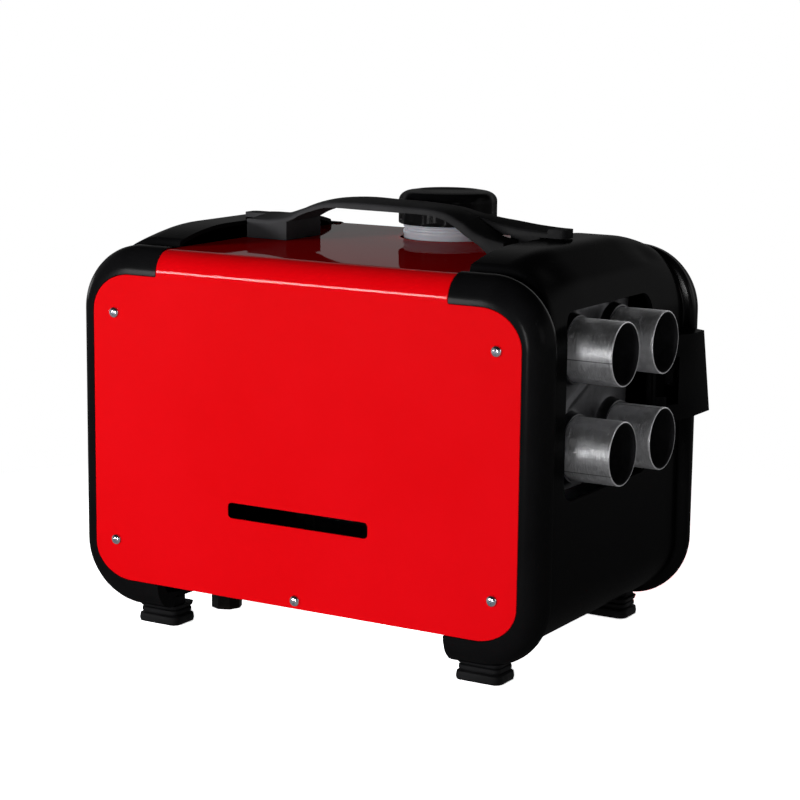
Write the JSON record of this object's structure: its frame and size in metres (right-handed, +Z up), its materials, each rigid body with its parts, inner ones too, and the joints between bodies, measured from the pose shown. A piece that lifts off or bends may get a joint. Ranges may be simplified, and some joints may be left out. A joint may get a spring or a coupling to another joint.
{
  "type": "parking heater",
  "caption": "Portable diesel air heater in a red and black carrying case with strap handle, filler cap and round warm-air outlets on one end.",
  "frame": {"origin": "on the floor under the middle of the overall box", "axes": "+X along the case towards the warm-air outlets, +Y from the red front to the back, +Z up"},
  "size_m": [0.383, 0.255, 0.301],
  "materials": {
    "shell_plastic": "moulded, glossy black",
    "handle_plastic": "moulded, satin black",
    "grey_plastic": "moulded, dark grey",
    "red_paint": "gloss red paint on sheet steel",
    "zinc_screws": "bright zinc plating",
    "galvanised": "galvanised sheet",
    "bare_steel": "plain steel",
    "cast_aluminium": "as cast",
    "rubber": "moulded rubber",
    "tank_plastic": "blow-moulded, translucent white",
    "display": "smoked clear",
    "circuit_board": "green lacquer",
    "brass": "turned brass"
  },
  "bodies": {
    "housing": {"left_shell": "shell_plastic", "right_shell": "shell_plastic", "cable_cover": "shell_plastic", "intake_grille": "shell_plastic", "carry_handle": "handle_plastic", "heater_upper_case": "grey_plastic", "heater_lower_case": "grey_plastic", "combustion_air_pipe": "grey_plastic", "controller_housing": "grey_plastic", "front_top_panel": "red_paint", "rear_panel": "red_paint", "front_screw_left_high": "zinc_screws", "front_screw_left_low": "zinc_screws", "front_screw_middle_low": "zinc_screws", "front_screw_right_low": "zinc_screws", "front_screw_right_high": "zinc_screws", "rear_screw_left_high": "zinc_screws", "rear_screw_left_low": "zinc_screws", "rear_screw_middle_low": "zinc_screws", "rear_screw_right_low": "zinc_screws", "rear_screw_right_high": "zinc_screws", "outlet_manifold": "galvanised", "outlet_tube_front_high": "galvanised", "outlet_tube_front_low": "galvanised", "outlet_tube_rear_high": "galvanised", "outlet_tube_rear_low": "galvanised", "base_tray": "bare_steel", "heater_bracket_left": "bare_steel", "heater_bracket_right": "bare_steel", "burner_tube": "bare_steel", "fan_motor": "bare_steel", "exhaust_pipe": "bare_steel", "fuel_pump": "bare_steel", "heat_exchanger": "cast_aluminium", "combustion_housing": "cast_aluminium", "motor_mount": "cast_aluminium", "glow_plug": "cast_aluminium", "foot_front_left": "rubber", "foot_front_right": "rubber", "foot_rear_left": "rubber", "foot_rear_right": "rubber", "cable_gland": "rubber", "fuel_hose_suction": "rubber", "fuel_hose_delivery": "rubber", "pump_clamp": "rubber", "fuel_tank": "tank_plastic", "display_lens": "display", "control_board": "circuit_board", "fuel_fitting": "brass"},
    "cap_carrier": {"cap_seal": "rubber"},
    "cap_riser": {"cap_liner": "tank_plastic"},
    "cap": {"filler_cap": "shell_plastic"},
    "fan_rotor": {"hot_air_fan": "grey_plastic", "combustion_fan": "grey_plastic", "motor_shaft": "zinc_screws"},
    "power_button": {"button_power": "rubber"},
    "mode_button": {"button_mode": "rubber"},
    "up_button": {"button_up": "rubber"},
    "down_button": {"button_down": "rubber"}
  },
  "joints": [
    {"name": "cap_lift", "type": "slide", "parent": "housing", "child": "cap_carrier", "axis": [0, 0, 1], "range_m": [0, 0.05]},
    {"name": "cap_thread_rise", "type": "slide", "parent": "cap_carrier", "child": "cap_riser", "axis": [0, 0, 1], "range_m": [0, 0.00901]},
    {"name": "cap_turn", "type": "hinge", "parent": "cap_riser", "child": "cap", "pos_m": [-0.0085, 0.071, 0.277], "axis": [0, 0, 1], "range_deg": [0, 540]},
    {"name": "fan_spin", "type": "hinge", "parent": "housing", "child": "fan_rotor", "pos_m": [-0.1405, -0.0202, 0.1832], "axis": [1, 0, 0], "continuous": true},
    {"name": "power_press", "type": "slide", "parent": "housing", "child": "power_button", "axis": [1, 0, 0], "range_m": [0, 0.0012], "stiffness_N_per_m": 800},
    {"name": "mode_press", "type": "slide", "parent": "housing", "child": "mode_button", "axis": [1, 0, 0], "range_m": [0, 0.0012], "stiffness_N_per_m": 800},
    {"name": "up_press", "type": "slide", "parent": "housing", "child": "up_button", "axis": [1, 0, 0], "range_m": [0, 0.0012], "stiffness_N_per_m": 800},
    {"name": "down_press", "type": "slide", "parent": "housing", "child": "down_button", "axis": [1, 0, 0], "range_m": [0, 0.0012], "stiffness_N_per_m": 800}
  ],
  "couplings": [
    {"joint": "cap_thread_rise", "follows": "cap_turn", "m_per_rad": 0.00095493}
  ]
}
